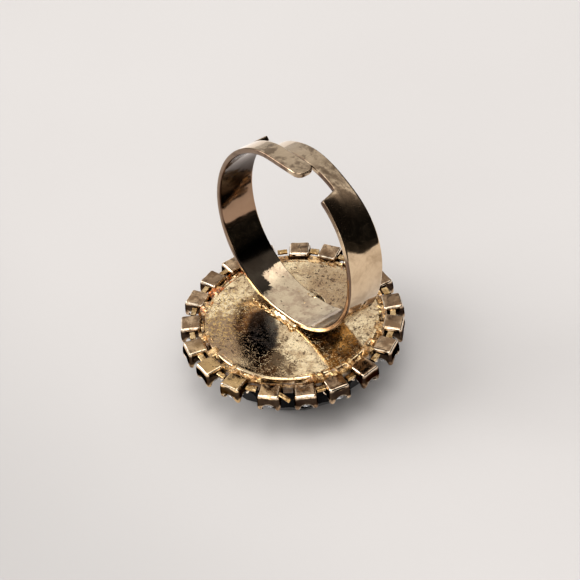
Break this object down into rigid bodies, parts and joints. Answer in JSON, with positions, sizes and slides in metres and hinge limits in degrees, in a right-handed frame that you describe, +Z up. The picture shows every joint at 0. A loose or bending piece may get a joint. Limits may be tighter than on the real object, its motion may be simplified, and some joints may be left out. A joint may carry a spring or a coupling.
{
  "type": "cocktail ring",
  "caption": "Adjustable costume ring: an open plated band with overlapping tongues, soldered to a round back plate with a black faceted stone and a rim of small clear stones in square cups.",
  "frame": {"origin": "middle of the centre stone's flat table, which the ring stands on", "axes": "+Z up from the table through the back plate to the hoop; the finger goes through along Y; +X is the arm with the far-side tongue"},
  "size_m": [0.0225, 0.0224, 0.0246],
  "materials": {
    "shank_plating": "polished warm nickel plating, worn",
    "plate_metal": "champagne plating with pits and tarnish",
    "cup_metal": "pressed sheet, plated, brown tarnish",
    "link_metal": "plated bar, worn",
    "crystal": "clear faceted glass",
    "black_glass": "opaque black glass, polished facets",
    "solder": "soft solder, plated over",
    "adhesive": "amber clear glue"
  },
  "bodies": {
    "head": {"back_plate": "plate_metal", "centre_stone": "black_glass", "chain_links": "link_metal", "cup_01": "cup_metal", "cup_02": "cup_metal", "cup_03": "cup_metal", "cup_04": "cup_metal", "cup_05": "cup_metal", "cup_06": "cup_metal", "cup_07": "cup_metal", "cup_08": "cup_metal", "cup_09": "cup_metal", "cup_10": "cup_metal", "cup_11": "cup_metal", "cup_12": "cup_metal", "cup_13": "cup_metal", "cup_14": "cup_metal", "cup_15": "cup_metal", "cup_16": "cup_metal", "cup_17": "cup_metal", "cup_18": "cup_metal", "cup_19": "cup_metal", "link_tail": "link_metal", "rhinestone_01": "crystal", "rhinestone_02": "crystal", "rhinestone_03": "crystal", "rhinestone_04": "crystal", "rhinestone_05": "crystal", "rhinestone_06": "crystal", "rhinestone_07": "crystal", "rhinestone_08": "crystal", "rhinestone_09": "crystal", "rhinestone_10": "crystal", "rhinestone_11": "crystal", "rhinestone_12": "crystal", "rhinestone_13": "crystal", "rhinestone_14": "crystal", "rhinestone_15": "crystal", "rhinestone_16": "crystal", "rhinestone_17": "crystal", "rhinestone_18": "crystal", "rhinestone_19": "crystal", "rim_adhesive": "adhesive", "shank_base": "shank_plating", "shank_solder": "solder", "stone_adhesive": "adhesive"},
    "arm_left": {"shank_arm_left": "shank_plating"},
    "arm_right": {"shank_arm_right": "shank_plating"}
  },
  "joints": [
    {"name": "open_left", "type": "hinge", "parent": "head", "child": "arm_left", "pos_m": [-0.00417, 0.00144, 0.00681], "axis": [0, -0.9972, 0.075], "range_deg": [-2.5, 9], "stiffness_Nm_per_rad": 0.02},
    {"name": "open_right", "type": "hinge", "parent": "head", "child": "arm_right", "pos_m": [0.00314, 0.00144, 0.0068], "axis": [0, 0.9972, -0.075], "range_deg": [-2.5, 9], "stiffness_Nm_per_rad": 0.02}
  ]
}
